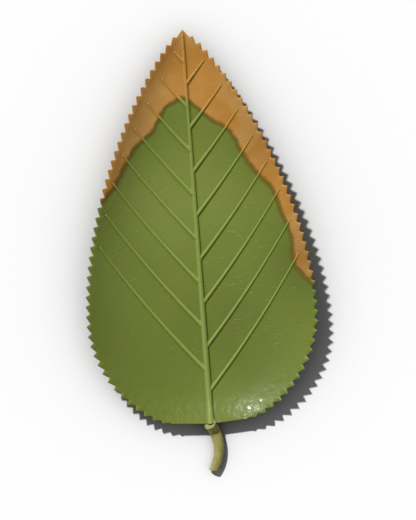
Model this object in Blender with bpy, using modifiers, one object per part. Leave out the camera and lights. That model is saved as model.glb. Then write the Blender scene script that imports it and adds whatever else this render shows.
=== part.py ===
"""Beech leaf, picked with its short stalk and lying on a flat surface.

The leaf is one grown piece: a thin saw-edged blade that is cupped like a
shallow dish, a midrib and side veins standing proud of its upper face, and a
curved stalk. The surface that it lies on is z = 0, the leaf's tip points
along +Y and the veined face looks up along +Z.
"""

import math

import bmesh
import bpy
import numpy as np
from mathutils import Vector
from mathutils.geometry import delaunay_2d_cdt, interpolate_bezier

MM = 0.001
NODE_NAME = "beech_leaf"

# Blade seen from above. DOWN is the distance from the leaf's tip towards its stalk.
BLADE_LENGTH = 95.0 * MM
BLADE_HALF_WIDTH = 27.4 * MM
WIDEST_DOWN = 69.2 * MM
BASE_HALF_WIDTH = 8.3 * MM
BASE_DOWN = 94.4 * MM
BLADE_THICKNESS = 0.45 * MM

# Reach of the margin's Bezier handles from the tip, the widest place and the base.
TIP_HANDLE = (10.6 * MM, 8.6 * MM)
WIDEST_HANDLE_UP = 27.2 * MM
WIDEST_HANDLE_DOWN = 14.0 * MM
BASE_HANDLE = 6.9 * MM

# Saw teeth along each margin, which point towards the leaf's tip. The tip itself
# takes up the given share of one tooth's pitch more.
TEETH_PER_SIDE = 46
TIP_PITCHES = 0.5
TOOTH_DEPTH = 0.98 * MM
TOOTH_POINT = 0.26
SMALL_TEETH = {1: 0.75, 44: 0.9, 45: 0.6, 46: 0.35}

# The dish: heights of the blade above its lowest point, and the powers by which it
# curves up: along the middle to the tip and base, along the sides, and across.
LOWEST_DOWN = 48.5 * MM
TIP_RISE = 5.0 * MM
SIDE_RISE = 7.0 * MM
BASE_RISE = 3.3 * MM
TIP_UPTURN = 2
BASE_UPTURN = 10
SIDE_FALL_TO_TIP = 1.5
SIDE_FALL_TO_BASE = 1.9
ACROSS_UPTURN = 2.4
TOOTH_OVERHANG = 1.05

# Midrib and side veins. The midrib leans a little to the right on its way down.
MIDRIB_START_DOWN = 1.5 * MM
MIDRIB_LEAN = 0.3 * MM
MIDRIB_TIP_RADIUS = 0.33 * MM
MIDRIB_BASE_RADIUS = 0.80 * MM
MIDRIB_END_INSET = 0.3 * MM
VEINS_PER_SIDE = 8
VEIN_SPACING = 10.63 * MM
VEIN_ROOT_RADIUS = 0.42 * MM
VEIN_END_RADIUS = 0.2 * MM
RIB_ROOTING = 0.4

# Side veins of the left (-1) and right (1) side: where the first one springs, the
# angles in degrees of the last and first to the midrib, and the share of the way to
# the margin that they reach, which the first ones fall short of. Each vein is a
# shallow arc whose middle stands off towards the stalk.
FIRST_VEIN_DOWN = {-1: 8.0 * MM, 1: 13.05 * MM}
VEIN_ANGLES = {-1: (36.7, 39.2), 1: (36.7, 41.2)}
ANGLE_POWER = 1.2
VEIN_BEND_RADIUS = 245.0 * MM
LONGEST_REACH = 0.915
FIRST_SHORTFALL = {-1: 0.49, 1: 0.26}
SHORTFALL_POWER = 3

# Stalk: an arc in plan that drops from the blade's base to the surface.
STALK_CHORD = 11.4 * MM
STALK_BULGE = 1.8 * MM
STALK_TOP_RADIUS = 1.50 * MM
STALK_MIDDLE_RADIUS = 1.26 * MM
STALK_END_RADIUS = 1.04 * MM
STALK_TOP_ABOVE_BLADE = 0.25 * MM
STALK_DROP_LENGTH = 3.2 * MM

# Mesh density.
OUTLINE_STEPS = 160
INTERIOR_SPACING = 5.5 * MM
INTERIOR_CLEARANCE = 2.2 * MM
RIB_STEPS = 14
STALK_STEPS = 16
STALK_CROWDING = 1.3
FINE_STEP = 0.1 * MM

# The leaf is centred along Y, from its tip to the stalk's cut end.
STALK_END_MARGIN = 0.4 * MM
TIP_Y = (BLADE_LENGTH + STALK_CHORD + STALK_END_MARGIN) / 2


def clear_scene():
    for scene_object in list(bpy.data.objects):
        bpy.data.objects.remove(scene_object, do_unlink=True)


def new_collection(name):
    collection = bpy.data.collections.new(name)
    bpy.context.scene.collection.children.link(collection)
    return collection


# ---------------------------------------------------------------- blade outline

def smooth_margin():
    """Right-hand margin without its teeth, from tip to base, as (x, down) rows."""
    tip = Vector((0.0, 0.0))
    tip_handle = Vector(TIP_HANDLE)
    widest = Vector((BLADE_HALF_WIDTH, WIDEST_DOWN))
    upper_handle = widest - Vector((0.0, WIDEST_HANDLE_UP))
    lower_handle = widest + Vector((0.0, WIDEST_HANDLE_DOWN))
    base = Vector((BASE_HALF_WIDTH, BASE_DOWN))
    base_handle = base + Vector((BASE_HANDLE, 0.0))
    front = interpolate_bezier(tip, tip_handle, upper_handle, widest, OUTLINE_STEPS)
    back = interpolate_bezier(widest, lower_handle, base_handle, base, OUTLINE_STEPS)
    return np.array([point[:2] for point in front + back[1:]])


MARGIN = smooth_margin()


def half_width(down):
    """Half the blade's width, without teeth, at a distance down from the tip."""
    downs = np.append(MARGIN[:, 1], BLADE_LENGTH)
    widths = np.append(MARGIN[:, 0], 0.0)
    return float(np.interp(down, downs, widths))


def margin_lengths():
    steps = np.linalg.norm(np.diff(MARGIN, axis=0), axis=1)
    return np.concatenate([[0.0], np.cumsum(steps)])


def margin_point(length, outset):
    """The point at a length along the right margin, moved outwards by outset."""
    lengths = margin_lengths()

    def at(value):
        return Vector([np.interp(value, lengths, MARGIN[:, axis]) for axis in (0, 1)])

    before = max(length - FINE_STEP, 0.0)
    after = min(length + FINE_STEP, lengths[-1])
    along = at(after) - at(before)
    outwards = Vector((along.y, -along.x)).normalized()
    return at(length) + outwards * outset


def toothed_margin():
    """Right-hand margin with its teeth, a valley and a point for each tooth."""
    pitch = margin_lengths()[-1] / (TEETH_PER_SIDE + TIP_PITCHES)
    points = []
    for tooth in range(1, TEETH_PER_SIDE + 1):
        outset = TOOTH_DEPTH / 2 * SMALL_TEETH.get(tooth, 1.0)
        points.append(margin_point(tooth * pitch, -outset))
        points.append(margin_point((tooth + TOOTH_POINT) * pitch, outset))
    points.append(Vector(MARGIN[-1]))
    return points


def blade_outline():
    """The whole outline, clockwise from the tip, as plan points in x and y."""
    right = toothed_margin()
    left = [Vector((-point.x, point.y)) for point in reversed(right)]
    tip = [Vector((0.0, 0.0))]
    base = [Vector((0.0, BLADE_LENGTH))]
    return [Vector((point.x, TIP_Y - point.y)) for point in tip + right + base + left]


# ---------------------------------------------------------------- the dish

def midrib_rise(down):
    """Height of the blade's middle line."""
    if down < LOWEST_DOWN:
        return TIP_RISE * (1 - down / LOWEST_DOWN) ** TIP_UPTURN
    return BASE_RISE * ((down - LOWEST_DOWN) / (BLADE_LENGTH - LOWEST_DOWN)) ** BASE_UPTURN


def side_rise(down):
    """Height of the blade's margin."""
    if down < LOWEST_DOWN:
        share = 1 - down / LOWEST_DOWN
        return SIDE_RISE - (SIDE_RISE - TIP_RISE) * share ** SIDE_FALL_TO_TIP
    share = (down - LOWEST_DOWN) / (BLADE_LENGTH - LOWEST_DOWN)
    return SIDE_RISE - (SIDE_RISE - BASE_RISE) * share ** SIDE_FALL_TO_BASE


def blade_height(x, y):
    """Height of the middle of the blade's thickness above the surface."""
    down = min(max(TIP_Y - y, 0.0), BLADE_LENGTH)
    across = min(abs(x) / max(half_width(down), FINE_STEP), TOOTH_OVERHANG)
    middle = midrib_rise(down)
    bend = across ** ACROSS_UPTURN
    return BLADE_THICKNESS / 2 + middle + (side_rise(down) - middle) * bend


def interior_points():
    """Staggered points inside the outline that let the flat blade bend."""
    row_step = INTERIOR_SPACING * math.sqrt(3) / 2
    rows = int(BLADE_LENGTH / row_step)
    points = []
    for row in range(1, rows):
        down = row * row_step
        reach = half_width(down) - INTERIOR_CLEARANCE
        if reach < 0 or BLADE_LENGTH - down < INTERIOR_CLEARANCE:
            continue
        columns = int(reach / INTERIOR_SPACING)
        shift = 0.5 if row % 2 else 0.0
        for column in range(-columns - 1, columns + 2):
            x = (column + shift) * INTERIOR_SPACING
            if abs(x) <= reach:
                points.append(Vector((x, TIP_Y - down)))
    return points


def make_blade(collection):
    """The cupped sheet with its teeth, given its thickness by Solidify."""
    outline = blade_outline()
    count = len(outline)
    edges = [(index, (index + 1) % count) for index in range(count)]
    inside_only = 1
    filled = delaunay_2d_cdt(outline + interior_points(), edges, [], inside_only, 1e-7)
    corners = [(x, y, blade_height(x, y)) for x, y in filled[0]]
    mesh = bpy.data.meshes.new(NODE_NAME)
    mesh.from_pydata(corners, [], filled[2])
    blade = bpy.data.objects.new(NODE_NAME, mesh)
    collection.objects.link(blade)
    solidify = blade.modifiers.new("thickness", "SOLIDIFY")
    solidify.thickness = BLADE_THICKNESS
    solidify.offset = 0.0
    return blade


# ---------------------------------------------------------------- ribs and stalk

def tube_mesh(name, points, radii):
    """A round tapered tube through the points, as a closed mesh."""
    curve = bpy.data.curves.new(name, "CURVE")
    curve.dimensions = "3D"
    curve.bevel_depth = 1.0
    curve.bevel_resolution = 2
    curve.use_fill_caps = True
    spline = curve.splines.new("POLY")
    spline.points.add(len(points) - 1)
    for point, place, radius in zip(spline.points, points, radii):
        point.co = (*place, 1.0)
        point.radius = radius
    guide = bpy.data.objects.new(name, curve)
    bpy.context.scene.collection.objects.link(guide)
    evaluated = guide.evaluated_get(bpy.context.evaluated_depsgraph_get())
    mesh = bpy.data.meshes.new_from_object(evaluated)
    bpy.data.objects.remove(guide, do_unlink=True)
    return mesh


def weld(mesh):
    """Join a tube to its caps."""
    cage = bmesh.new()
    cage.from_mesh(mesh)
    bmesh.ops.remove_doubles(cage, verts=cage.verts, dist=0.001 * MM)
    bmesh.ops.recalc_face_normals(cage, faces=cage.faces)
    cage.to_mesh(mesh)
    cage.free()


def add_joined_shape(name, mesh, collection):
    weld(mesh)
    shape = bpy.data.objects.new(name, mesh)
    shape.hide_render = True
    shape.display_type = "WIRE"
    collection.objects.link(shape)


def upper_face(x, y):
    return blade_height(x, y) + BLADE_THICKNESS / 2


def add_rib(name, start, end, bow, radii, collection):
    """A half-round rib between two (x, down) places, rooted in the upper face.

    Its middle stands off the straight line between them by a quarter of bow."""
    points = []
    widths = []
    for step in range(RIB_STEPS + 1):
        share = step / RIB_STEPS
        place = start.lerp(end, share) + bow * share * (1 - share)
        y = TIP_Y - place.y
        points.append(Vector((place.x, y, upper_face(place.x, y))))
        widths.append(radii[0] + (radii[1] - radii[0]) * share)
    mesh = tube_mesh(name, points, widths)
    for vertex in mesh.vertices:
        x, y, z = vertex.co
        depth = upper_face(x, y) - z
        if depth > 0:
            vertex.co.z += depth * (1 - RIB_ROOTING)
    add_joined_shape(name, mesh, collection)


def midrib_x(down):
    return MIDRIB_LEAN * down / BLADE_LENGTH


def add_midrib(collection):
    end_down = BLADE_LENGTH - MIDRIB_END_INSET
    start = Vector((midrib_x(MIDRIB_START_DOWN), MIDRIB_START_DOWN))
    end = Vector((midrib_x(end_down), end_down))
    radii = (MIDRIB_TIP_RADIUS, MIDRIB_BASE_RADIUS)
    add_rib("midrib", start, end, Vector((0.0, 0.0)), radii, collection)


def vein_end(root, side, angle, reach):
    """Where a side vein stops: at a share of the way to the margin."""
    direction = Vector((side * math.sin(angle), -math.cos(angle)))
    place = root.copy()
    while abs(place.x) < reach * half_width(place.y):
        place += direction * FINE_STEP
    return place


def vein_bow(root, end, side):
    """Four times how far a side vein's middle stands off its chord, towards the stalk."""
    chord = end - root
    sideways = Vector((-chord.y, chord.x)).normalized() * side
    return sideways * chord.length_squared / (2 * VEIN_BEND_RADIUS)


def add_side_veins(collection):
    for side in (-1, 1):
        for number in range(VEINS_PER_SIDE):
            share = number / (VEINS_PER_SIDE - 1)
            last_angle, first_angle = VEIN_ANGLES[side]
            turned = (first_angle - last_angle) * (1 - share) ** ANGLE_POWER
            angle = math.radians(last_angle + turned)
            reach = LONGEST_REACH - FIRST_SHORTFALL[side] * (1 - share) ** SHORTFALL_POWER
            root_down = FIRST_VEIN_DOWN[side] + number * VEIN_SPACING
            root = Vector((midrib_x(root_down), root_down))
            end = vein_end(root, side, angle, reach)
            name = f"vein_{'left' if side < 0 else 'right'}_{number + 1}"
            radii = (VEIN_ROOT_RADIUS, VEIN_END_RADIUS)
            add_rib(name, root, end, vein_bow(root, end, side), radii, collection)


def stalk_radius(share):
    """Stalk radius: swollen where it meets the blade, slimmer to its cut end."""
    radii = (STALK_TOP_RADIUS, STALK_MIDDLE_RADIUS, STALK_END_RADIUS)
    return float(np.interp(share, (0.0, 0.5, 1.0), radii))


def stalk_point(share):
    """A point of the stalk's middle line: a plan arc that drops to the surface."""
    arc_radius = ((STALK_CHORD / 2) ** 2 + STALK_BULGE ** 2) / (2 * STALK_BULGE)
    half_angle = math.asin(STALK_CHORD / 2 / arc_radius)
    angle = half_angle * (1 - 2 * share)
    x = arc_radius * math.cos(angle) - (arc_radius - STALK_BULGE)
    y = TIP_Y - BLADE_LENGTH - STALK_CHORD / 2 + arc_radius * math.sin(angle)
    top = BASE_RISE + BLADE_THICKNESS / 2 + STALK_TOP_ABOVE_BLADE
    travelled = share * 2 * half_angle * arc_radius
    left_to_drop = max(1 - travelled / STALK_DROP_LENGTH, 0.0)
    lying = stalk_radius(share)
    return Vector((x, y, lying + (top - STALK_TOP_RADIUS) * left_to_drop ** 2))


def add_stalk(collection):
    shares = [(step / STALK_STEPS) ** STALK_CROWDING for step in range(STALK_STEPS + 1)]
    points = [stalk_point(share) for share in shares]
    radii = [stalk_radius(share) for share in shares]
    add_joined_shape("stalk", tube_mesh("stalk", points, radii), collection)


def join_shapes(blade, shapes):
    union = blade.modifiers.new("grown_together", "BOOLEAN")
    union.operation = "UNION"
    union.operand_type = "COLLECTION"
    union.collection = shapes
    union.solver = "EXACT"


def leaf_material():
    material = bpy.data.materials.new("leaf_green")
    material.use_nodes = True
    shader = material.node_tree.nodes["Principled BSDF"]
    shader.inputs["Base Color"].default_value = (0.16, 0.22, 0.04, 1.0)
    shader.inputs["Roughness"].default_value = 0.45
    shader.inputs["Metallic"].default_value = 0.0
    return material


def main():
    clear_scene()
    leaf = new_collection("beech_leaf_parts")
    shapes = new_collection("joined_shapes")
    blade = make_blade(leaf)
    add_midrib(shapes)
    add_side_veins(shapes)
    add_stalk(shapes)
    join_shapes(blade, shapes)
    blade.data.materials.append(leaf_material())


main()
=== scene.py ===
import math
from collections import namedtuple

import bpy
import numpy as np
from mathutils import Euler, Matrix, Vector, noise
from mathutils.geometry import delaunay_2d_cdt, interpolate_bezier


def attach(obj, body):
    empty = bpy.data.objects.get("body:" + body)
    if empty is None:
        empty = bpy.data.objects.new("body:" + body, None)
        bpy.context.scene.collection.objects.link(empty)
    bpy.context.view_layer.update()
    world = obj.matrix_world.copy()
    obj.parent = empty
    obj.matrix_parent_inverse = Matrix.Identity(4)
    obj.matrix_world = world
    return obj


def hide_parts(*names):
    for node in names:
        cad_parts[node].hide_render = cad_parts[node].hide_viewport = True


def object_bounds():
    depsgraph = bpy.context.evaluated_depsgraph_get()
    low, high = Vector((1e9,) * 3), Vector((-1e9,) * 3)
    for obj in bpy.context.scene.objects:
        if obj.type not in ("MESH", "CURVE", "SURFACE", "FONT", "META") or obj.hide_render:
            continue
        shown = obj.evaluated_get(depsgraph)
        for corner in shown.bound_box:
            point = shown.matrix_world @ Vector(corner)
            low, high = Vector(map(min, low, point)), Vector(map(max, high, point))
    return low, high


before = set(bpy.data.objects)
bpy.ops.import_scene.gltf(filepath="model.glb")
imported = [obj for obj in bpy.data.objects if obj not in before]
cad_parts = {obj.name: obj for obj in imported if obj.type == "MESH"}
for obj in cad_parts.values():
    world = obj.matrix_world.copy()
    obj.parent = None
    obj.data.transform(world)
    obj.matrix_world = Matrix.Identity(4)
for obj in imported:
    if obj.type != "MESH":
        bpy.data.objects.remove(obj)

CAD_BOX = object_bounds()
MM = 0.001

# ------------------------------------------------------------------ the leaf's plan
# All shapes below are worked out in millimetres. A place on the leaf is (x, down):
# across from the middle, and down from the leaf's tip towards its stalk.

BLADE_LENGTH = 95.0
BLADE_HALF_WIDTH = 27.4
WIDEST_DOWN = 69.2
BASE_HALF_WIDTH = 8.3
BASE_DOWN = 94.4
TIP_HANDLE = (10.6, 8.6)
WIDEST_HANDLE_UP = 27.2
WIDEST_HANDLE_DOWN = 14.0
BASE_HANDLE = 6.9
BLADE_THICKNESS = 0.45

TEETH_PER_SIDE = 46
TIP_PITCHES = 0.5
TOOTH_DEPTH = 0.98
TOOTH_POINT = 0.26
SMALL_TEETH = {1: 0.75, 44: 0.9, 45: 0.6, 46: 0.35}

# The dish: heights of the blade above its lowest point, and the powers by which it
# curves up: along the middle to the tip and base, along the sides, and across.
LOWEST_DOWN = 48.5
TIP_RISE = 5.0
SIDE_RISE = 7.0
BASE_RISE = 3.3
TIP_UPTURN = 2
BASE_UPTURN = 10
SIDE_FALL_TO_TIP = 1.5
SIDE_FALL_TO_BASE = 1.9
ACROSS_UPTURN = 2.4
TOOTH_OVERHANG = 1.05
NARROWEST = 0.1

# Ribs: the midrib, which leans a little to the right, and the side veins of the left
# (-1) and right (1) side, with the angles in degrees of the last and first vein.
# Each vein is a shallow arc whose middle stands off towards the stalk. The midrib's
# radii are at its tip and base, a vein's at its root and end.
MIDRIB_START_DOWN = 1.5
MIDRIB_OVERRUN = 1.0
MIDRIB_LEAN = 0.3
MIDRIB_RADII = (0.33, 0.80)
VEINS_PER_SIDE = 8
VEIN_SPACING = 10.63
FIRST_VEIN_DOWN = {-1: 8.0, 1: 13.05}
VEIN_ANGLES = {-1: (36.7, 39.2), 1: (36.7, 41.2)}
ANGLE_POWER = 1.2
VEIN_BEND_RADIUS = 245.0
LONGEST_REACH = 0.915
FIRST_SHORTFALL = {-1: 0.49, 1: 0.26}
SHORTFALL_POWER = 3
VEIN_RADII = (0.42, 0.2)
ROOT_FLARE = 0.12
ROOT_FLARE_LENGTH = 3.0

# A rib's height, the groove under it and the reach of its colour are shares of its
# radius. The crease along its foot, a shallow dent with painted shade in it, is full on the rib's
# side and faint on the other.
RIB_HEIGHT = 0.95
RIB_CREASE = 0.05
CREASE_WIDTH = 0.36
CREASE_FADE = 0.2
OTHER_CREASE = 0.15
RIB_COLOUR_REACH = 1.08
RIB_COLOUR_FADE = 0.12
GROOVE_SHARE = 0.3
GROOVE_WIDTH = 1.3

# Puckers: a faint unevenness of the whole blade, stronger towards margin and base.
PUCKER_SIZE = 2.4
PUCKER_HEIGHT = 0.035
PUCKER_LEAST = 0.3
PUCKER_EDGE_REACH = 3.0
PUCKER_BASE_START = 80.0
PUCKER_BASE_FULL = 90.0

# Stalk: an arc in plan that drops from the blade's base to the floor, with its radii
# at the blade, half-way and at its cut end, and faint ridges that wind round it.
STALK_CHORD = 11.4
STALK_BULGE = 1.8
STALK_RADII = (1.50, 1.26, 1.04)
STALK_TOP_ABOVE_BLADE = 0.25
STALK_DROP_LENGTH = 3.2
STALK_END_MARGIN = 0.4
STALK_FLATNESS = 0.86
STALK_RIDGES = 5
STALK_RIDGE_HEIGHT = 0.02
STALK_RIDGE_TWIST = 9
STALK_RIM_ROUNDING = 0.12
STALK_RIM_ANGLE = 50

# The stalk's last rings turn by a share of the way to an end cut straight across.
STALK_CUT_SHARE = 0.5
STALK_CUT_START = 0.875

# The leaf is centred along Y, from its tip to the stalk's cut end.
TIP_Y = (BLADE_LENGTH + STALK_CHORD + STALK_END_MARGIN) / 2

# Mesh density, and steps along the curves. The offsets and end stops of a rib's points
# are shares of its radius.
MARGIN_STEPS = 160
BASE_STEPS = 24
TOOTH_BACK_STEPS = 5
TOOTH_FRONT_STEPS = 3
LOOK_STEP = 0.2
TRACE_STEP = 0.1
SHARPEST_CORNER = 0.5
FIELD_SPACING = 0.45
RIB_STATION = 0.5
MIDRIB_STATION = 0.25
RIB_OFFSETS = (0.0, 0.4, 0.7, 0.88, 0.97, 1.06, 1.25, 1.6)
RIB_END_STOPS = (-0.9, 0.0, 0.5, 0.85, 1.05, 1.6)
MIDRIB_CLEARANCE = 1.3
BASE_CLEARANCE = 0.2
FIELD_MARGIN = 0.85
CLOSEST_POINTS = 0.05
GAP_STRIDE = 4
TURNING_STEPS = 6
STALK_RINGS = 60
STALK_SIDES = 40
STALK_CROWDING = 1.3
STALK_LOOK = 0.03

# The rim's rounding: a row of points this far inside the outline, and how far both
# faces draw in at the outline.
EDGE_SUPPORT = 0.18
EDGE_DROP = 0.12

# Broad soft patches where the blade is lighter or darker, partly its own uneven tone and partly
# painted light and shade: mostly lighter on the left, which faces away from the sun, and darker on
# the right, which faces it. Columns: x, down, radius, strength.
TONE_AND_LIGHT_PATCHES = [
    (-11.0, 39.0, 16.0, 0.29), (5.0, 40.0, 15.0, 0.08), (-19.0, 64.0, 10.0, 0.14),
    (9.0, 71.0, 11.0, -0.12), (13.0, 86.0, 10.0, -0.06), (3.0, 13.0, 7.0, 0.1),
    (-26.0, 54.0, 8.0, 0.14), (-8.0, 14.0, 7.0, 0.24), (15.5, 29.0, 8.0, -0.16),
    (25.5, 57.0, 9.0, -0.28),
]

# Where green gives way to brown, from the left margin round the midrib to the right.
TURNING_LINE = [
    (-27.0, 42.4), (-22.9, 40.8), (-20.6, 38.6), (-18.3, 35.7), (-15.6, 31.2), (-13.2, 27.4),
    (-9.6, 24.6), (-7.6, 22.0), (-5.6, 18.6), (-3.0, 17.0), (-0.9, 16.4), (1.2, 18.1),
    (5.2, 21.7), (8.6, 23.9), (10.9, 27.2), (12.2, 30.3), (15.2, 35.2),
    (18.9, 39.6), (20.6, 45.0), (22.7, 51.5), (22.8, 57.5), (24.2, 60.0), (29.0, 65.4),
]


# ------------------------------------------------------------------ plan curves

def smooth_margin():
    """Right-hand margin without teeth, as rows of (x, down) from tip to base."""
    tip = Vector((0.0, 0.0))
    tip_handle = Vector(TIP_HANDLE)
    widest = Vector((BLADE_HALF_WIDTH, WIDEST_DOWN))
    upper_handle = widest - Vector((0.0, WIDEST_HANDLE_UP))
    lower_handle = widest + Vector((0.0, WIDEST_HANDLE_DOWN))
    base = Vector((BASE_HALF_WIDTH, BASE_DOWN))
    base_handle = base + Vector((BASE_HANDLE, 0.0))
    front = interpolate_bezier(tip, tip_handle, upper_handle, widest, MARGIN_STEPS)
    back = interpolate_bezier(widest, lower_handle, base_handle, base, MARGIN_STEPS)
    return np.array([point[:2] for point in front + back[1:]])


MARGIN = smooth_margin()
MARGIN_RUN = np.concatenate([[0.0], np.cumsum(np.linalg.norm(np.diff(MARGIN, axis=0), axis=1))])


def half_width(down):
    """Half the blade's width, without teeth, at a distance down from the tip."""
    downs = np.append(MARGIN[:, 1], BLADE_LENGTH)
    widths = np.append(MARGIN[:, 0], 0.0)
    return np.interp(down, downs, widths)


def margin_place(run):
    """The place at a length along the right margin, without teeth."""
    return np.array([np.interp(run, MARGIN_RUN, MARGIN[:, axis]) for axis in (0, 1)])


def margin_point(run, outset):
    """A place on the right margin, moved outwards by outset."""
    before = max(run - LOOK_STEP, 0.0)
    after = min(run + LOOK_STEP, MARGIN_RUN[-1])
    along = margin_place(after) - margin_place(before)
    outwards = np.array([along[1], -along[0]]) / np.linalg.norm(along)
    return margin_place(run) + outwards * outset


def toothed_margin():
    """Corner points of the right-hand margin: the tip, then a valley and point per tooth."""
    pitch = MARGIN_RUN[-1] / (TEETH_PER_SIDE + TIP_PITCHES)
    corners = [np.zeros(2)]
    for tooth in range(1, TEETH_PER_SIDE + 1):
        outset = TOOTH_DEPTH / 2 * SMALL_TEETH.get(tooth, 1.0)
        corners.append(margin_point(tooth * pitch, -outset))
        corners.append(margin_point((tooth + TOOTH_POINT) * pitch, outset))
    corners.append(MARGIN[-1])
    return corners


def divided(corners):
    """The margin's corner points with steps between them, the last corner left out."""
    points = []
    for index, (start, end) in enumerate(zip(corners, corners[1:])):
        steps = TOOTH_FRONT_STEPS if index % 2 else TOOTH_BACK_STEPS
        points += [start + (end - start) * step / steps for step in range(steps)]
    return points


def blade_outline():
    """The whole outline as (x, down) rows, down the right side and up the left."""
    right = divided(toothed_margin())
    across_base = np.array([0.0, BLADE_LENGTH]) - MARGIN[-1]
    base = [MARGIN[-1] + across_base * step / BASE_STEPS for step in range(BASE_STEPS)]
    half = right + base
    mirrored = [point * (-1, 1) for point in reversed(half[1:])]
    return np.array(half + [np.array([0.0, BLADE_LENGTH])] + mirrored)


def moved_inwards(outline, distance):
    """Each outline point moved in along the bisector of its corner."""
    before = outline - np.roll(outline, 1, axis=0)
    after = np.roll(outline, -1, axis=0) - outline
    inward = []
    for edge in (before, after):
        unit = edge / np.linalg.norm(edge, axis=1, keepdims=True)
        inward.append(np.stack([-unit[:, 1], unit[:, 0]], axis=1))
    bisector = inward[0] + inward[1]
    reach = (bisector * bisector).sum(axis=1, keepdims=True) / 2
    return outline + bisector / np.maximum(reach, SHARPEST_CORNER) * distance


def distance_to_path(points, path):
    """Distance of each point to a path of straight steps, and which side it is on."""
    nearest = np.full(len(points), np.inf)
    side = np.ones(len(points))
    for start, end in zip(path, path[1:]):
        step = end - start
        offset = points - start
        share = np.clip(offset @ step / (step @ step), 0.0, 1.0)
        gap = np.linalg.norm(offset - share[:, None] * step, axis=1)
        closer = gap < nearest
        nearest = np.where(closer, gap, nearest)
        cross = step[0] * offset[:, 1] - step[1] * offset[:, 0]
        side = np.where(closer, np.sign(cross), side)
    return nearest, side


def margin_gap(points):
    """Distance of each point from the margin, its teeth left out."""
    edge = np.vstack([MARGIN[::GAP_STRIDE], MARGIN[-1:], [0.0, BLADE_LENGTH]])
    mirrored = np.stack([np.abs(points[:, 0]), points[:, 1]], axis=1)
    return distance_to_path(mirrored, edge)[0]


def smooth_path(knots, steps):
    """A Catmull-Rom curve through the knots."""
    knots = np.array(knots)
    padded = np.vstack([2 * knots[0] - knots[1], knots, 2 * knots[-1] - knots[-2]])
    path = []
    for a, b, c, d in zip(padded, padded[1:], padded[2:], padded[3:]):
        for share in np.linspace(0.0, 1.0, steps, endpoint=False):
            path.append(0.5 * (2 * b + (c - a) * share + (2 * a - 5 * b + 4 * c - d) * share ** 2
                               + (3 * b - a - 3 * c + d) * share ** 3))
    return np.array(path + [knots[-1]])


# ------------------------------------------------------------------ ribs

def midrib_x(down):
    """How far right of the leaf's axis the midrib is."""
    return MIDRIB_LEAN * down / BLADE_LENGTH


def between(pair, share):
    """The value at a share of the way from the pair's first to its second."""
    return pair[0] + (pair[1] - pair[0]) * share


def vein_end(root, side, angle, reach):
    """Where a side vein stops: at a share of the way to the margin."""
    direction = np.array([side * math.sin(angle), -math.cos(angle)])
    place = root.copy()
    while abs(place[0]) < reach * half_width(place[1]):
        place = place + direction * TRACE_STEP
    return place


Rib = namedtuple("Rib", "root end root_radius end_radius side")


def make_ribs():
    """Every rib, the midrib first."""
    top = np.array([midrib_x(MIDRIB_START_DOWN), MIDRIB_START_DOWN])
    bottom = np.array([midrib_x(BLADE_LENGTH), BLADE_LENGTH + MIDRIB_OVERRUN])
    ribs = [Rib(bottom, top, MIDRIB_RADII[1], MIDRIB_RADII[0], 1)]
    for side in (-1, 1):
        for number in range(VEINS_PER_SIDE):
            share = number / (VEINS_PER_SIDE - 1)
            down = FIRST_VEIN_DOWN[side] + number * VEIN_SPACING
            root = np.array([midrib_x(down), down])
            degrees = between(VEIN_ANGLES[side], (1 - share) ** ANGLE_POWER)
            reach = LONGEST_REACH - FIRST_SHORTFALL[side] * (1 - share) ** SHORTFALL_POWER
            end = vein_end(root, side, math.radians(degrees), reach)
            root_radius = min(VEIN_RADII[0], between(MIDRIB_RADII, down / BLADE_LENGTH))
            ribs.append(Rib(root, end, root_radius, VEIN_RADII[1], side))
    return ribs


RIBS = make_ribs()


def rib_radius(rib, share):
    """Radius of a rib, which tapers to its end and flares a little at its root."""
    run = share * np.linalg.norm(rib.end - rib.root)
    flare = 1 + ROOT_FLARE * np.exp(-(run / ROOT_FLARE_LENGTH) ** 2)
    return between((rib.root_radius, rib.end_radius), share) * flare


def rib_side(rib):
    """Direction square to a rib: towards the stalk from a vein, right of the midrib."""
    line = rib.end - rib.root
    return np.array([-line[1], line[0]]) / np.linalg.norm(line) * rib.side


def rib_bow(rib, share):
    """How far a rib stands off its chord: veins are shallow arcs, the midrib is straight."""
    if rib is RIBS[0]:
        return np.zeros_like(share)
    chord = rib.end - rib.root
    return (chord @ chord) / (2 * VEIN_BEND_RADIUS) * share * (1 - share)


def rib_reading(points, rib):
    """For each point: its distance from the rib's line, the rib's radius there, and how
    far it is to the rib's side."""
    line = rib.end - rib.root
    sideways = rib_side(rib)
    share = np.clip((points - rib.root) @ line / (line @ line), 0.0, 1.0)
    offset = points - rib.root - share[:, None] * line - rib_bow(rib, share)[:, None] * sideways
    return np.linalg.norm(offset, axis=1), rib_radius(rib, share), offset @ sideways


def rib_points(rib, station):
    """Rows of points that run along a rib, closer together towards its foot."""
    line = rib.end - rib.root
    length = np.linalg.norm(line)
    forward = line / length
    sideways = rib_side(rib)
    stops = list(np.arange(0.0, length - rib.end_radius, station))
    stops += [length + rib.end_radius * share for share in RIB_END_STOPS]
    rows = []
    for stop in stops:
        share = min(stop / length, 1.0)
        radius = rib_radius(rib, share)
        middle = rib.root + forward * stop + sideways * rib_bow(rib, share)
        for offset in RIB_OFFSETS:
            for direction in (1, -1) if offset else (1,):
                rows.append(middle + sideways * offset * radius * direction)
    return np.array(rows)


# ------------------------------------------------------------------ heights

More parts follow.
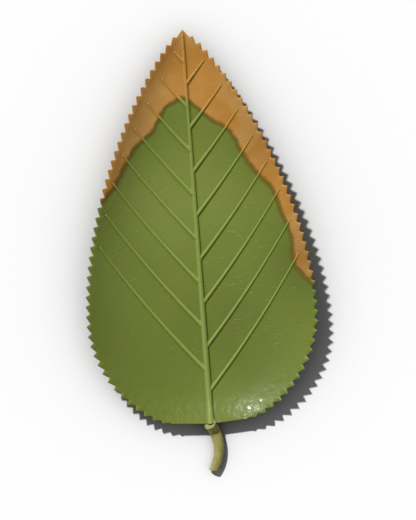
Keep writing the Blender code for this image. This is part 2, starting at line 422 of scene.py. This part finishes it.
def dish_height(points):
    """Middle of the blade's thickness above the floor."""
    x = points[:, 0]
    down = np.clip(points[:, 1], 0.0, BLADE_LENGTH)
    across = np.minimum(np.abs(x) / np.maximum(half_width(down), NARROWEST), TOOTH_OVERHANG)
    to_tip = np.clip(1 - down / LOWEST_DOWN, 0.0, 1.0)
    to_base = np.clip((down - LOWEST_DOWN) / (BLADE_LENGTH - LOWEST_DOWN), 0.0, 1.0)
    middle = TIP_RISE * to_tip ** TIP_UPTURN + BASE_RISE * to_base ** BASE_UPTURN
    side = SIDE_RISE - (SIDE_RISE - TIP_RISE) * to_tip ** SIDE_FALL_TO_TIP
    side -= (SIDE_RISE - BASE_RISE) * to_base ** SIDE_FALL_TO_BASE
    return BLADE_THICKNESS / 2 + middle + (side - middle) * across ** ACROSS_UPTURN


def rib_profile(points, rib):
    """Height of one rib, its foot's crease, which also carries painted shade, the groove under it,
    and its colour's share.
    """
    gap, radius, beside = rib_reading(points, rib)
    share = gap / radius
    rise = radius * RIB_HEIGHT * np.sqrt(np.clip(1 - share ** 2, 0, 1))
    crease_reach = np.minimum(radius, CREASE_WIDTH)
    near = np.exp(-(np.maximum(gap - radius, 0) / crease_reach) ** 2)
    behind = np.clip(beside / CREASE_FADE + 0.5, OTHER_CREASE, 1.0)
    groove = radius * GROOVE_SHARE * np.exp(-(share / GROOVE_WIDTH) ** 2)
    colour = np.clip((RIB_COLOUR_REACH - share) / RIB_COLOUR_FADE, 0, 1)
    return rise, near * behind, groove, colour


def rib_relief(points):
    """The ribs' rise and groove at each point, and the shares of it that belong to a
    rib, to a rib's foot, where shade is painted, and to a vein of the left side, where a highlight is
    painted."""
    profiles = [rib_profile(points, rib) for rib in RIBS]
    rise, foot, groove, rib = np.max(profiles, axis=0)
    off_midrib = 1 - profiles[0][3]
    left = [profile[3] for profile, vein in zip(profiles, RIBS) if vein.side < 0]
    return {
        "rise": rise - RIB_CREASE * foot,
        "groove": groove,
        "rib": rib,
        "rib_foot_shade": foot * (1 - rib),
        "left_vein_highlight": np.max(left, axis=0) * off_midrib,
    }


def tone_and_light(points):
    """Lightness of the blade's colour, its own tone with painted light and shade, 1 where no patch
    touches it.
    """
    level = np.ones(len(points))
    for x, down, radius, strength in TONE_AND_LIGHT_PATCHES:
        gap = np.linalg.norm(points - (x, down), axis=1)
        level += strength * np.exp(-(gap / radius) ** 2)
    return level


def pucker(points, edge_gap):
    """Faint lumps of the blade, in millimetres."""
    lumps = np.array([noise.noise(Vector((x, down, 0.0)) / PUCKER_SIZE) for x, down in points])
    near_edge = np.exp(-edge_gap / PUCKER_EDGE_REACH)
    near_base = np.interp(points[:, 1], (PUCKER_BASE_START, PUCKER_BASE_FULL), (0.0, 1.0))
    return PUCKER_HEIGHT * lumps * (PUCKER_LEAST + np.maximum(near_edge, near_base))


# ------------------------------------------------------------------ blade mesh

def field_points():
    """Staggered points that fill the blade between its ribs and its margin."""
    row_step = FIELD_SPACING * math.sqrt(3) / 2
    rows = np.arange(row_step, BLADE_LENGTH, row_step)
    points = []
    for number, down in enumerate(rows):
        reach = half_width(down)
        columns = np.arange(-reach, reach, FIELD_SPACING) + (number % 2) * FIELD_SPACING / 2
        points.append(np.stack([columns, np.full(len(columns), down)], axis=1))
    points = np.vstack(points)
    keep = margin_gap(points) > FIELD_MARGIN
    for rib in RIBS:
        gap, radius, _ = rib_reading(points, rib)
        keep &= gap > radius * RIB_OFFSETS[-1] + FIELD_SPACING / 2
    return points[keep]


def all_rib_points():
    """Points of every rib; the side veins' stop short of the midrib."""
    groups = [rib_points(RIBS[0], MIDRIB_STATION)]
    for rib in RIBS[1:]:
        points = rib_points(rib, RIB_STATION)
        gap, radius, _ = rib_reading(points, RIBS[0])
        groups.append(points[gap > radius * MIDRIB_CLEARANCE])
    points = np.vstack(groups)
    above_base = points[:, 1] < BLADE_LENGTH - BASE_CLEARANCE
    return points[above_base & (margin_gap(points) > EDGE_SUPPORT * 2)]


def thinned(points, spacing):
    """Points without near-doubles."""
    _, first = np.unique(np.round(points / spacing), axis=0, return_index=True)
    return points[np.sort(first)]


def to_space(points, heights):
    """Leaf places and heights in millimetres, as rows of x, y, z in metres."""
    return np.stack([points[:, 0], TIP_Y - points[:, 1], heights], axis=1) * MM


def blade_faces(outline):
    """Plan points and triangles of the blade, and where the outline's points went."""
    inner = moved_inwards(outline, EDGE_SUPPORT)
    loose = np.vstack([all_rib_points(), field_points()])
    points = np.vstack([outline, inner, thinned(loose, CLOSEST_POINTS)])
    count = len(outline)
    edges = [(index, (index + 1) % count) for index in range(count)]
    inside_only, smallest_gap = 1, 1e-5
    filled = delaunay_2d_cdt([Vector(p) for p in points], edges, [], inside_only, smallest_gap)
    places = np.array([tuple(vertex) for vertex in filled[0]])
    new_index = {old: new for new, olds in enumerate(filled[3]) for old in olds}
    rim = [new_index[old] for old in range(count)]
    return places, filled[2], rim


def two_sided(places, triangles, rim):
    """Faces of the upper side, of the lower side, and of the rim between them."""
    count = len(places)
    faces = []
    for a, b, c in triangles:
        (ax, ay), (bx, by), (cx, cy) = places[a], places[b], places[c]
        faces_up = (bx - ax) * (cy - ay) - (by - ay) * (cx - ax) < 0
        first, second = (b, c) if faces_up else (c, b)
        faces.append((a, first, second))
        faces.append((a + count, second + count, first + count))
    for here, there in zip(rim, rim[1:] + rim[:1]):
        faces.append((here, there, there + count, here + count))
    return faces


def make_blade():
    """The blade: two faces a thickness apart, joined round the rim."""
    places, triangles, rim = blade_faces(blade_outline())
    edge_gap = margin_gap(places)
    relief = rib_relief(places)
    dish = dish_height(places) + pucker(places, edge_gap)
    upper = dish + BLADE_THICKNESS / 2 + relief["rise"]
    lower = dish - BLADE_THICKNESS / 2 + relief["groove"]
    upper[rim] -= EDGE_DROP
    lower[rim] += EDGE_DROP
    vertices = np.vstack([to_space(places, upper), to_space(places, lower)])
    blade = new_piece("leaf_blade", vertices, two_sided(places, triangles, rim))
    gap, side = distance_to_path(places, smooth_path(TURNING_LINE, TURNING_STEPS))
    marks = {"turned": -gap * side, "tone_and_light": tone_and_light(places), "edge_gap": edge_gap}
    for name in ("rib", "rib_foot_shade", "left_vein_highlight"):
        marks[name] = relief[name]
    for name, values in marks.items():
        add_attribute(blade, name, np.tile(values, 2))
    add_attribute(blade, "under", np.repeat([0.0, 1.0], len(places)))
    return blade


def new_piece(name, vertices, faces):
    """A smooth-shaded object with these vertices, in metres, and faces."""
    mesh = bpy.data.meshes.new(name)
    mesh.from_pydata(vertices.tolist(), [], faces)
    mesh.validate()
    mesh.shade_smooth()
    piece = bpy.data.objects.new(name, mesh)
    bpy.context.scene.collection.objects.link(piece)
    return piece


def add_attribute(piece, name, values):
    """Gives a piece one number per vertex, which its material reads by name."""
    attribute = piece.data.attributes.new(name, "FLOAT", "POINT")
    attribute.data.foreach_set("value", np.asarray(values, dtype=np.float32))


# ------------------------------------------------------------------ stalk mesh

def stalk_radius(share):
    """Radius of the stalk at a share of its length, from the blade to its cut end."""
    middle = STALK_RADII[1]
    if share < 0.5:
        return between((STALK_RADII[0], middle), share * 2)
    return between((middle, STALK_RADII[2]), share * 2 - 1)


def stalk_centre(share):
    """Middle line of the stalk in millimetres, an arc in plan that drops to the floor."""
    arc_radius = ((STALK_CHORD / 2) ** 2 + STALK_BULGE ** 2) / (2 * STALK_BULGE)
    half_angle = math.asin(STALK_CHORD / 2 / arc_radius)
    angle = half_angle * (1 - 2 * share)
    x = arc_radius * math.cos(angle) - (arc_radius - STALK_BULGE)
    y = TIP_Y - BLADE_LENGTH - STALK_CHORD / 2 + arc_radius * math.sin(angle)
    top = BASE_RISE + BLADE_THICKNESS / 2 + STALK_TOP_ABOVE_BLADE
    travelled = share * 2 * half_angle * arc_radius
    left_to_drop = max(1 - travelled / STALK_DROP_LENGTH, 0.0)
    return Vector((x, y, stalk_radius(share) + (top - STALK_RADII[0]) * left_to_drop ** 2))


def stalk_ring(share, sides):
    """Points round the stalk; the last rings turn towards the angle of its cut."""
    centre = stalk_centre(share)
    ahead = stalk_centre(min(share + STALK_LOOK, 1.0))
    behind = stalk_centre(max(share - STALK_LOOK, 0.0))
    forward = (ahead - behind).normalized()
    across = forward.cross(Vector((0, 0, 1))).normalized()
    over = across.cross(forward)
    into_cut = max((share - STALK_CUT_START) / (1 - STALK_CUT_START), 0.0)
    turn = math.atan2(-forward.x, -forward.y) * STALK_CUT_SHARE * into_cut
    cut = across.copy()
    cut.rotate(Euler((0, 0, turn)))
    points = []
    for side in range(sides):
        angle = 2 * math.pi * side / sides
        ridge = math.sin(STALK_RIDGES * angle + STALK_RIDGE_TWIST * share)
        radius = stalk_radius(share) * (1 + STALK_RIDGE_HEIGHT * ridge)
        rise = over * math.sin(angle) * radius * STALK_FLATNESS
        points.append(centre + cut * math.cos(angle) * radius / cut.dot(across) + rise)
    return points


def make_stalk():
    """A lofted tube with rounded rims; the end by the blade is its second material."""
    rings, sides = STALK_RINGS, STALK_SIDES
    vertices = []
    for ring in range(rings + 1):
        vertices += stalk_ring((ring / rings) ** STALK_CROWDING, sides)
    faces = []
    for ring in range(rings):
        for side in range(sides):
            here, beside = ring * sides + side, ring * sides + (side + 1) % sides
            faces.append((here, here + sides, beside + sides, beside))
    faces.append(tuple(range(sides)))
    last = rings * sides
    faces.append(tuple(last + side for side in reversed(range(sides))))
    stalk = new_piece("leaf_stalk", np.array([tuple(v) for v in vertices]) * MM, faces)
    stalk.data.polygons[rings * sides].material_index = 1
    bevel = stalk.modifiers.new("rounded_rims", "BEVEL")
    bevel.width = STALK_RIM_ROUNDING * MM
    bevel.segments = 3
    bevel.limit_method = "ANGLE"
    bevel.angle_limit = math.radians(STALK_RIM_ANGLE)
    return stalk


# ------------------------------------------------------------------ materials

def srgb(red, green, blue):
    """A colour given as 0 to 255 on screen, as Blender's linear values."""
    channels = []
    for value in (red, green, blue):
        level = value / 255
        channels.append(level / 12.92 if level <= 0.04045 else ((level + 0.055) / 1.055) ** 2.4)
    return (*channels, 1.0)


class Tree:
    """Short names for making and joining a material's nodes."""

    def __init__(self, name):
        self.material = bpy.data.materials.new(name)
        self.material.use_nodes = True
        self.nodes = self.material.node_tree.nodes
        self.links = self.material.node_tree.links
        self.shader = self.nodes["Principled BSDF"]

    def put(self, socket, value):
        """Joins another node's output to a socket, or sets the socket to a value."""
        if isinstance(value, bpy.types.NodeSocket):
            self.links.new(value, socket)
        else:
            socket.default_value = value

    def attribute(self, name):
        """The number that the mesh carries under this name."""
        node = self.nodes.new("ShaderNodeAttribute")
        node.attribute_name = name
        return node.outputs["Fac"]

    def places(self):
        """Places on the object, in metres."""
        return self.nodes.new("ShaderNodeTexCoord").outputs["Object"]

    def axes(self, vector):
        """The X and Y of a vector."""
        node = self.nodes.new("ShaderNodeSeparateXYZ")
        self.put(node.inputs[0], vector)
        return node.outputs["X"], node.outputs["Y"]

    def distance(self, vector, place):
        """Distance in millimetres from a place given in millimetres."""
        node = self.nodes.new("ShaderNodeVectorMath")
        node.operation = "DISTANCE"
        self.put(node.inputs[0], vector)
        node.inputs[1].default_value = Vector(place) * MM
        return self.math("DIVIDE", node.outputs["Value"], MM)

    def mapped(self, vector, scale=(1, 1, 1), turn=0.0):
        """A vector scaled along each axis and turned about Z."""
        node = self.nodes.new("ShaderNodeMapping")
        self.put(node.inputs["Vector"], vector)
        node.inputs["Scale"].default_value = scale
        node.inputs["Rotation"].default_value = (0, 0, turn)
        return node.outputs["Vector"]

    def noise(self, vector, size, detail):
        """Noise whose lumps are about size millimetres across."""
        node = self.nodes.new("ShaderNodeTexNoise")
        self.put(node.inputs["Vector"], vector)
        node.inputs["Scale"].default_value = 1 / (size * MM)
        node.inputs["Detail"].default_value = detail
        return node.outputs["Fac"]

    def math(self, operation, a, b=0.0):
        """One sum on one or two values."""
        node = self.nodes.new("ShaderNodeMath")
        node.operation = operation
        self.put(node.inputs[0], a)
        self.put(node.inputs[1], b)
        return node.outputs[0]

    def blend(self, share, first, second):
        """The first value where share is 0, the second where it is 1."""
        kept = self.math("MULTIPLY", first, self.math("SUBTRACT", 1.0, share))
        return self.math("ADD", kept, self.math("MULTIPLY", second, share))

    def ramp(self, value, limits, shares=(0.0, 1.0)):
        """A value that goes from one limit to the other, smoothly, as the two shares."""
        node = self.nodes.new("ShaderNodeMapRange")
        node.interpolation_type = "SMOOTHSTEP"
        self.put(node.inputs["Value"], value)
        node.inputs["From Min"].default_value = limits[0]
        node.inputs["From Max"].default_value = limits[1]
        node.inputs["To Min"].default_value = shares[0]
        node.inputs["To Max"].default_value = shares[1]
        return node.outputs["Result"]

    def patches(self, vector, size, detail, limits, shares=(0.0, 1.0)):
        """Soft patches: noise that goes from one limit to the other, as the two shares."""
        return self.ramp(self.noise(vector, size, detail), limits, shares)

    def mix(self, share, first, second, blend="MIX"):
        """The first colour where share is 0, the second over it where it is 1."""
        node = self.nodes.new("ShaderNodeMix")
        node.data_type = "RGBA"
        node.blend_type = blend
        self.put(node.inputs[0], share)
        self.put(node.inputs[6], first)
        self.put(node.inputs[7], second)
        return node.outputs[2]

    def bump(self, height, distance, strength, under=None):
        """Relief whose full height is distance millimetres, on top of any under it."""
        node = self.nodes.new("ShaderNodeBump")
        self.put(node.inputs["Height"], height)
        node.inputs["Distance"].default_value = distance * MM
        node.inputs["Strength"].default_value = strength
        if under is not None:
            self.put(node.inputs["Normal"], under)
        return node.outputs["Normal"]

    def finish(self, colour, roughness, specular, normal=None):
        """The material, with its colour, shine and relief joined to the shader."""
        self.put(self.shader.inputs["Base Color"], colour)
        self.put(self.shader.inputs["Roughness"], roughness)
        self.put(self.shader.inputs["Specular IOR Level"], specular)
        if normal is not None:
            self.put(self.shader.inputs["Normal"], normal)
        return self.material


# Blade colours.
GREEN = srgb(101, 112, 47)
GREEN_DARK = srgb(95, 108, 43)
GREEN_FRESH = srgb(97, 114, 46)
BROWN = srgb(167, 120, 58)
BROWN_DARK = srgb(163, 114, 50)
BROWN_PALE = srgb(172, 129, 69)
TURNING = srgb(92, 76, 24)
RIB_GREEN = srgb(121, 133, 67)
RIB_TAN = srgb(170, 126, 66)
PAINTED_WRINKLE_HIGHLIGHT = srgb(150, 158, 100)
PAINTED_SHEEN = srgb(150, 148, 120)
UNDERSIDE = srgb(140, 148, 96)
# Painted highlight: lightens the veins of the left side, which the sun runs along.
PAINTED_LEFT_VEIN_HIGHLIGHT = (1.18, 1.18, 1.18, 1.0)
# Painted shade: darkens the foot of each rib on the side where its shadow falls.
PAINTED_CREASE_SHADE = (0.7, 0.78, 0.16, 1.0)

# Patches of colour: size in millimetres, detail, limits of the noise and the shares
# of the colour at those limits.
GREEN_PATCHES = {"size": 16, "detail": 2, "limits": (0.35, 0.65), "shares": (0.5, 1.0)}
FRESH_PATCHES = {"size": 9, "detail": 2, "limits": (0.5, 0.75), "shares": (0.0, 0.7)}
BROWN_PATCHES = {"size": 6, "detail": 3, "limits": (0.35, 0.65)}
BROWN_PALE_PATCHES = {"size": 11, "detail": 2, "limits": (0.45, 0.65)}

# From green to brown, in millimetres past the turning line, which wobbles: the change
# itself and the dark band that fades in before it and out after it.
WOBBLE = {"size": 1.6, "detail": 2}
GREEN_TO_BROWN = (-0.3, 0.4)
BAND_IN = (-1.0, -0.1)
BAND_OUT = (0.9, 0.1)
BAND_SHARE = 0.8

# A painted grey sheen over the lightest tones, and the paler underside.
SHEEN_TONES = (1.0, 1.4)
SHEEN_SHARE = 0.07
UNDERSIDE_SHARE = 0.35

# Wrinkles: sparse short streaks, narrower than long, which slant either side of the
# midrib and make a fan at the base. They fade in and out over the blade.
STREAKS = {"size": 1.7, "detail": 1, "limits": (0.6, 0.78)}
STREAK_NARROWING = 4
LEFT_SLANT = math.radians(38)
RIGHT_SLANT = math.radians(6)
SLANT_CHANGE = (-1 * MM, 1 * MM)
FAN_CENTRE_Y = -18.0
FAN_RADIUS = 14.0
FAN_START = (8 * MM, 14 * MM)
WRINKLED_PATCHES = {"size": 7, "detail": 1, "limits": (0.42, 0.6), "shares": (0.1, 1.0)}
# Share by which the wrinkles are painted lighter, a painted highlight along them.
LIT_WRINKLES = 0.11

# Relief of the blade's skin, as size and detail of the noise and as height and strength
# of the bumps. The lumps are stronger near the margin below the fan's centre.
WRINKLE_BUMP = (0.06, 0.7)
LUMPS = {"size": 1.6, "detail": 1}
LUMP_BUMP = (0.17, 0.9)
LUMPS_LEAST = 0.2
LUMPS_BELOW_FAN = (4, 18)
GRAIN = {"size": 0.4, "detail": 1}
GRAIN_BUMP = (0.012, 0.5)

# Shine of the blade: a thin coat near the margin, thickest in small spots.
BLADE_ROUGHNESS = 0.4
BLADE_SPECULAR = 0.12
COAT_ROUGHNESS = 0.14
COAT_REACH = (1.5, 7.0)
COAT_SPOTS = {"size": 1.1, "detail": 0, "limits": (0.6, 0.68), "shares": (0.015, 0.12)}

# Stalk: streaks along it, blotches, a yellow tint painted where the blade's shadow falls on it, and
# rings on the end by the blade.
STALK_OLIVE = srgb(128, 130, 62)
STALK_TAN = srgb(146, 139, 84)
STALK_BROWN = srgb(138, 110, 60)
STALK_SHADOW_TINT = srgb(168, 152, 54)
STALK_STREAKS = {"size": 0.8, "detail": 3}
STALK_STREAK_STRETCH = (1, 0.25, 1)
STALK_STREAK_LIMITS = (0.35, 0.65)
STALK_BLOTCHES = {"size": 1.6, "detail": 3, "limits": (0.56, 0.7), "shares": (0.0, 0.5)}
STALK_BUMP = (0.06, 0.6)
STALK_ROUGHNESS = 0.5
STALK_SPECULAR = 0.25
# Place, reach and share of the yellow shadow colour painted on the stalk.
SHADOW_TINT_PLACE = 0.13
SHADOW_TINT_REACH = 2.0
SHADOW_TINT_SHARE = 0.8
CAP_DARK = srgb(122, 124, 70)
CAP_PALE = srgb(140, 140, 90)
CAP_BUMP = (0.03, 0.5)
CAP_ROUGHNESS = 0.6
CAP_SPECULAR = 0.2
RING_CROWDING = 13.0


def skin_colours(tree, places):
    """The blade's mottled green and mottled brown."""
    green = tree.mix(tree.patches(places, **GREEN_PATCHES), GREEN_DARK, GREEN)
    green = tree.mix(tree.patches(places, **FRESH_PATCHES), green, GREEN_FRESH)
    brown = tree.mix(tree.patches(places, **BROWN_PATCHES), BROWN_DARK, BROWN)
    brown = tree.mix(tree.patches(places, **BROWN_PALE_PATCHES), brown, BROWN_PALE)
    return green, brown


def blade_colour(tree, places):
    """Green that turns brown past the turning line, with its ribs and its underside, painted shade
    along the ribs' feet, a painted highlight on the left veins and a painted sheen over the lightest
    tones.
    """
    green, brown = skin_colours(tree, places)
    wobble = tree.math("SUBTRACT", tree.noise(places, **WOBBLE), 0.5)
    turned = tree.math("ADD", tree.attribute("turned"), wobble)
    is_brown = tree.ramp(turned, GREEN_TO_BROWN)
    tones_and_light = tree.attribute("tone_and_light")
    # The blade's own tone, with painted light and shade, multiplies its colour.
    blade = tree.mix(1.0, tree.mix(is_brown, green, brown), tones_and_light, "MULTIPLY")
    # Painted sheen over the lightest tones.
    blade = tree.mix(tree.ramp(tones_and_light, SHEEN_TONES, (0.0, SHEEN_SHARE)), blade, PAINTED_SHEEN)
    band = tree.math("MULTIPLY", tree.ramp(turned, BAND_IN), tree.ramp(turned, BAND_OUT))
    blade = tree.mix(tree.math("MULTIPLY", band, BAND_SHARE), blade, TURNING)
    # Painted shade along the ribs' feet.
    blade = tree.mix(tree.attribute("rib_foot_shade"), blade, PAINTED_CREASE_SHADE, "MULTIPLY")
    rib = tree.mix(is_brown, RIB_GREEN, RIB_TAN)
    # Painted highlight on the left side's veins.
    rib = tree.mix(tree.attribute("left_vein_highlight"), rib, PAINTED_LEFT_VEIN_HIGHLIGHT, "MULTIPLY")
    blade = tree.mix(tree.attribute("rib"), blade, rib)
    return tree.mix(tree.math("MULTIPLY", tree.attribute("under"), UNDERSIDE_SHARE), blade, UNDERSIDE)


def streaks(tree, vector):
    """Sparse short wrinkles, long in the vector's first direction."""
    return tree.patches(tree.mapped(vector, (1, STREAK_NARROWING, 1)), **STREAKS)


def slanted_streaks(tree, places, slant):
    """Wrinkles that rise to the right by an angle, or to the left if it is negative."""
    return streaks(tree, tree.mapped(places, (1, 1, 1), -slant))


def fan_streaks(tree, x, below):
    """Wrinkles that spread from the fan's centre."""
    square = tree.math("ADD", tree.math("MULTIPLY", x, x), tree.math("MULTIPLY", below, below))
    turn = tree.math("ARCTAN2", x, below)
    fan = tree.nodes.new("ShaderNodeCombineXYZ")
    tree.put(fan.inputs["X"], tree.math("SQRT", square))
    tree.put(fan.inputs["Y"], tree.math("MULTIPLY", turn, FAN_RADIUS * MM))
    return streaks(tree, fan.outputs[0])


def wrinkles(tree, places):
    """Wrinkles that slant on the left, lie flat on the right and fan out at the base."""
    x, y = tree.axes(places)
    below = tree.math("SUBTRACT", FAN_CENTRE_Y * MM, y)
    left = slanted_streaks(tree, places, LEFT_SLANT)
    right = slanted_streaks(tree, places, RIGHT_SLANT)
    sides = tree.blend(tree.ramp(x, SLANT_CHANGE), left, right)
    lines = tree.blend(tree.ramp(below, FAN_START), sides, fan_streaks(tree, x, below))
    return tree.math("MULTIPLY", lines, tree.patches(places, **WRINKLED_PATCHES))


def below_fan(tree, places):
    """0 on most of the blade, rising to 1 towards the stalk."""
    y = tree.axes(places)[1]
    return tree.ramp(y, [(FAN_CENTRE_Y - below) * MM for below in LUMPS_BELOW_FAN])


def blade_relief(tree, places, lines, near_edge):
    """Bumps of the wrinkles, of lumps and of a fine grain."""
    low_edge = tree.math("MULTIPLY", near_edge, below_fan(tree, places))
    uneven = tree.math("ADD", low_edge, LUMPS_LEAST)
    lumps = tree.math("MULTIPLY", tree.noise(places, **LUMPS), uneven)
    normal = tree.bump(lines, *WRINKLE_BUMP)
    normal = tree.bump(lumps, *LUMP_BUMP, normal)
    return tree.bump(tree.noise(places, **GRAIN), *GRAIN_BUMP, normal)


def leaf_material():
    """The blade's skin, green and brown, wrinkled, with painted highlights along the wrinkles and a
    little shine near the margin.
    """
    tree = Tree("leaf_surface")
    places = tree.places()
    lines = wrinkles(tree, places)
    lit_lines = tree.math("MULTIPLY", lines, LIT_WRINKLES)
    # Painted highlight along the wrinkles.
    colour = tree.mix(lit_lines, blade_colour(tree, places), PAINTED_WRINKLE_HIGHLIGHT)
    near_edge = tree.ramp(tree.attribute("edge_gap"), COAT_REACH, (1.0, 0.0))
    coat = tree.math("MULTIPLY", near_edge, tree.patches(places, **COAT_SPOTS))
    normal = blade_relief(tree, places, lines, near_edge)
    tree.put(tree.shader.inputs["Coat Weight"], coat)
    tree.put(tree.shader.inputs["Coat Roughness"], COAT_ROUGHNESS)
    tree.put(tree.shader.inputs["Coat Normal"], normal)
    return tree.finish(colour, BLADE_ROUGHNESS, BLADE_SPECULAR, normal)


def stalk_material():
    """The stalk's skin, streaked along its length, with a yellow tint painted into the blade's shadow
    near the blade.
    """
    tree = Tree("stalk_surface")
    places = tree.places()
    along = tree.noise(tree.mapped(places, STALK_STREAK_STRETCH), **STALK_STREAKS)
    colour = tree.mix(tree.ramp(along, STALK_STREAK_LIMITS), STALK_OLIVE, STALK_TAN)
    colour = tree.mix(tree.patches(places, **STALK_BLOTCHES), colour, STALK_BROWN)
    # Painted shadow colour: a yellow tint where the blade's shadow falls on the stalk.
    from_shadow_tint = tree.distance(places, stalk_centre(SHADOW_TINT_PLACE))
    shadow_tint = tree.ramp(from_shadow_tint, (SHADOW_TINT_REACH / 2, SHADOW_TINT_REACH), (SHADOW_TINT_SHARE, 0.0))
    colour = tree.mix(shadow_tint, colour, STALK_SHADOW_TINT)
    normal = tree.bump(along, *STALK_BUMP)
    return tree.finish(colour, STALK_ROUGHNESS, STALK_SPECULAR, normal)


def cap_material():
    """The stalk's end by the blade, with faint rings."""
    tree = Tree("stalk_end")
    from_centre = tree.distance(tree.places(), stalk_centre(0.0))
    rings = tree.math("SINE", tree.math("MULTIPLY", from_centre, RING_CROWDING))
    colour = tree.mix(tree.ramp(rings, (-1.0, 1.0)), CAP_DARK, CAP_PALE)
    return tree.finish(colour, CAP_ROUGHNESS, CAP_SPECULAR, tree.bump(rings, *CAP_BUMP))


# ------------------------------------------------------------------ floor, light, camera

# The picture's frame: a camera that looks straight down, rolled a little, in metres.
PICTURE_ROLL = math.radians(4.03)
PICTURE_HEIGHT = 0.1256
PICTURE_CENTRE = (2.3 * MM, -2.25 * MM)
CAMERA_DISTANCE = 0.8
NEAREST_SEEN = 0.01

# A sun from the upper left, half-way up the sky, and a faint sky.
SUN_STRENGTH = 4.6
SUN_SPREAD = math.radians(3.0)
SUN_DIRECTION = (-0.412, 0.575, 0.707)
SKY_STRENGTH = 0.17
SKY_COLOUR = (0.98, 0.99, 1.04, 1.0)

# A white floor, just under the leaf, with shade painted into its colour close to it.
FLOOR_SIZE = 3.0
FLOOR_GAP = 0.05 * MM
FLOOR_COLOUR = (0.825, 0.825, 0.825, 1.0)
FLOOR_SHADE = (0.0, 0.0, 0.0, 1.0)
FLOOR_SHADE_REACH = 0.1
FLOOR_SHADE_POWER = 0.8
FLOOR_SHADE_SAMPLES = 16
FLOOR_ROUGHNESS = 0.9


def make_floor():
    """The floor, which is part of the picture only."""
    height = CAD_BOX[0].z - FLOOR_GAP
    bpy.ops.mesh.primitive_plane_add(size=FLOOR_SIZE, location=(0, 0, height))
    floor = bpy.context.object
    floor.name = "floor"
    tree = Tree("floor_white")
    # Painted shade: the floor's colour darkens where the leaf closes off the sky above it.
    closeness = tree.nodes.new("ShaderNodeAmbientOcclusion")
    closeness.inputs["Distance"].default_value = FLOOR_SHADE_REACH
    closeness.samples = FLOOR_SHADE_SAMPLES
    openness = tree.math("POWER", closeness.outputs["AO"], FLOOR_SHADE_POWER)
    colour = tree.mix(openness, FLOOR_SHADE, FLOOR_COLOUR)
    floor.data.materials.append(tree.finish(colour, FLOOR_ROUGHNESS, specular=0.0))


def make_light():
    """The sun, whose direction is given as seen in the picture, and the sky."""
    sun_data = bpy.data.lights.new("sun", "SUN")
    sun_data.energy = SUN_STRENGTH
    sun_data.angle = SUN_SPREAD
    sun = bpy.data.objects.new("sun", sun_data)
    turned = Vector(SUN_DIRECTION)
    turned.rotate(Euler((0, 0, -PICTURE_ROLL)))
    sun.rotation_euler = turned.to_track_quat("Z", "Y").to_euler()
    bpy.context.scene.collection.objects.link(sun)
    world = bpy.data.worlds.new("studio")
    world.use_nodes = True
    background = world.node_tree.nodes["Background"]
    background.inputs["Color"].default_value = SKY_COLOUR
    background.inputs["Strength"].default_value = SKY_STRENGTH
    bpy.context.scene.world = world


def make_camera():
    """The camera, square to the floor."""
    data = bpy.data.cameras.new("camera")
    data.sensor_fit = "VERTICAL"
    data.angle = 2 * math.atan(PICTURE_HEIGHT / 2 / CAMERA_DISTANCE)
    data.clip_start = NEAREST_SEEN
    camera = bpy.data.objects.new("camera", data)
    camera.location = (*PICTURE_CENTRE, CAMERA_DISTANCE)
    camera.rotation_euler = (0, 0, -PICTURE_ROLL)
    bpy.context.scene.collection.objects.link(camera)
    bpy.context.scene.camera = camera


def main():
    """Builds the picture's stage and the leaf's two pieces, which ride on the root."""
    bpy.context.scene.view_settings.view_transform = "Standard"
    make_camera()
    make_light()
    make_floor()
    blade = make_blade()
    stalk = make_stalk()
    blade.data.materials.append(leaf_material())
    stalk.data.materials.append(stalk_material())
    stalk.data.materials.append(cap_material())
    for piece in (blade, stalk):
        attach(piece, "root")
        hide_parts("beech_leaf")


main()
